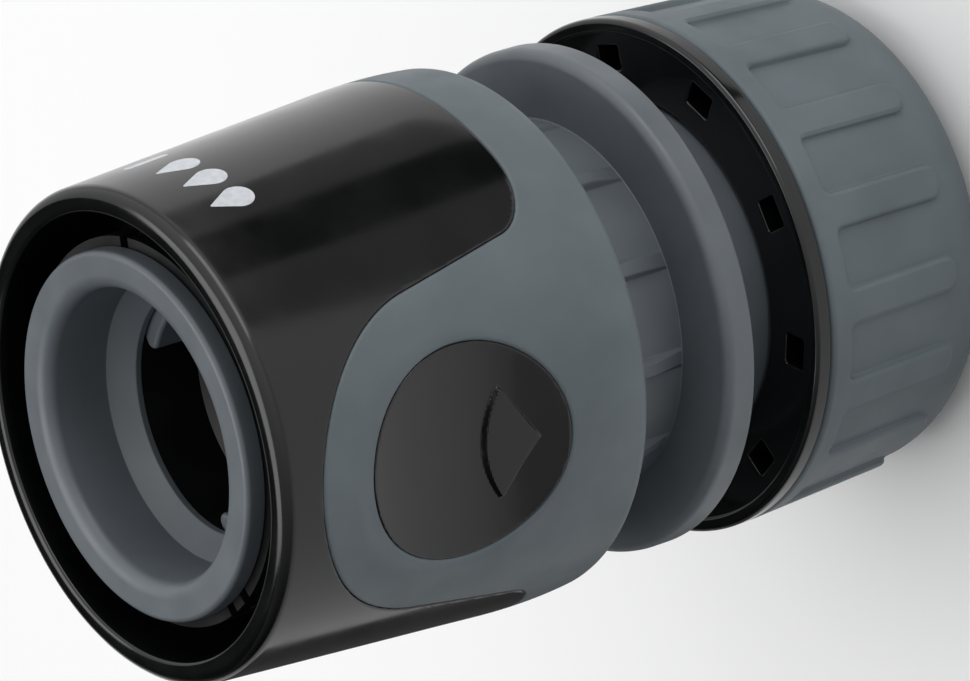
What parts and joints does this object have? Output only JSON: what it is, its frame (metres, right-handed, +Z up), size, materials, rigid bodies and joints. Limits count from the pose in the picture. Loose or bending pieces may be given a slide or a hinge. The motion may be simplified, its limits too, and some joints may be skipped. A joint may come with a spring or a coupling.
{
  "type": "garden hose quick connector",
  "caption": "Quick connector that grips a half inch garden hose with a union nut and takes a plug behind a spring sleeve, with a shut-off valve inside.",
  "frame": {"origin": "centre of the nut's rear face, which the part stands on", "axes": "+Z up the common axis towards the mouth; the thumb recesses face -Y and +Y"},
  "size_m": [0.0382, 0.0382, 0.0639],
  "materials": {
    "black_shell": "glossy moulded",
    "black_body": "satin moulded",
    "grey_body": "satin moulded",
    "claw": "satin moulded",
    "soft_grip": "fine matt",
    "spring_steel": "drawn wire",
    "seal_rubber": "satin"
  },
  "bodies": {
    "connector_body": {"socket_body": "black_body", "mouth_ring": "grey_body", "tail_body": "grey_body", "body_seal": "seal_rubber", "valve_seat": "black_body", "sleeve_spring": "spring_steel", "valve_spring": "spring_steel"},
    "release_sleeve": {"sleeve_shell": "black_shell", "sleeve_grip": "soft_grip"},
    "claw_one": {"locking_claw_1": "claw"},
    "claw_two": {"locking_claw_2": "claw"},
    "valve": {"valve_plunger": "black_body", "valve_seal": "seal_rubber"},
    "collet": {"grip_ring": "claw"},
    "union_nut": {"nut_core": "black_shell", "nut_grip": "soft_grip"}
  },
  "joints": [
    {"name": "sleeve_slide", "type": "slide", "parent": "connector_body", "child": "release_sleeve", "axis": [0, 0, -1], "range_m": [0, 0.005], "stiffness_N_per_m": 1500, "springref_m": -0.005, "deforming": ["sleeve_spring"]},
    {"name": "claw_one_slide", "type": "slide", "parent": "connector_body", "child": "claw_one", "axis": [0.8192, 0.5736, 0], "range_m": [0, 0.00126]},
    {"name": "claw_two_slide", "type": "slide", "parent": "connector_body", "child": "claw_two", "axis": [-0.8192, -0.5736, 0], "range_m": [0, 0.00126]},
    {"name": "valve_slide", "type": "slide", "parent": "connector_body", "child": "valve", "axis": [0, 0, -1], "range_m": [0, 0.005], "stiffness_N_per_m": 800, "springref_m": -0.004, "deforming": ["valve_spring"]},
    {"name": "collet_slide", "type": "slide", "parent": "connector_body", "child": "collet", "axis": [0, 0, 1], "range_m": [-0.00452, 0.00452]},
    {"name": "nut_turn", "type": "hinge", "parent": "collet", "child": "union_nut", "pos_m": [0, 0, 0.01], "axis": [0, 0, 1], "range_deg": [-540, 540]}
  ],
  "couplings": [
    {"joint": "claw_one_slide", "follows": "sleeve_slide", "ratio": 0.25},
    {"joint": "claw_two_slide", "follows": "sleeve_slide", "ratio": 0.25},
    {"joint": "collet_slide", "follows": "nut_turn", "m_per_rad": 0.00047746}
  ]
}
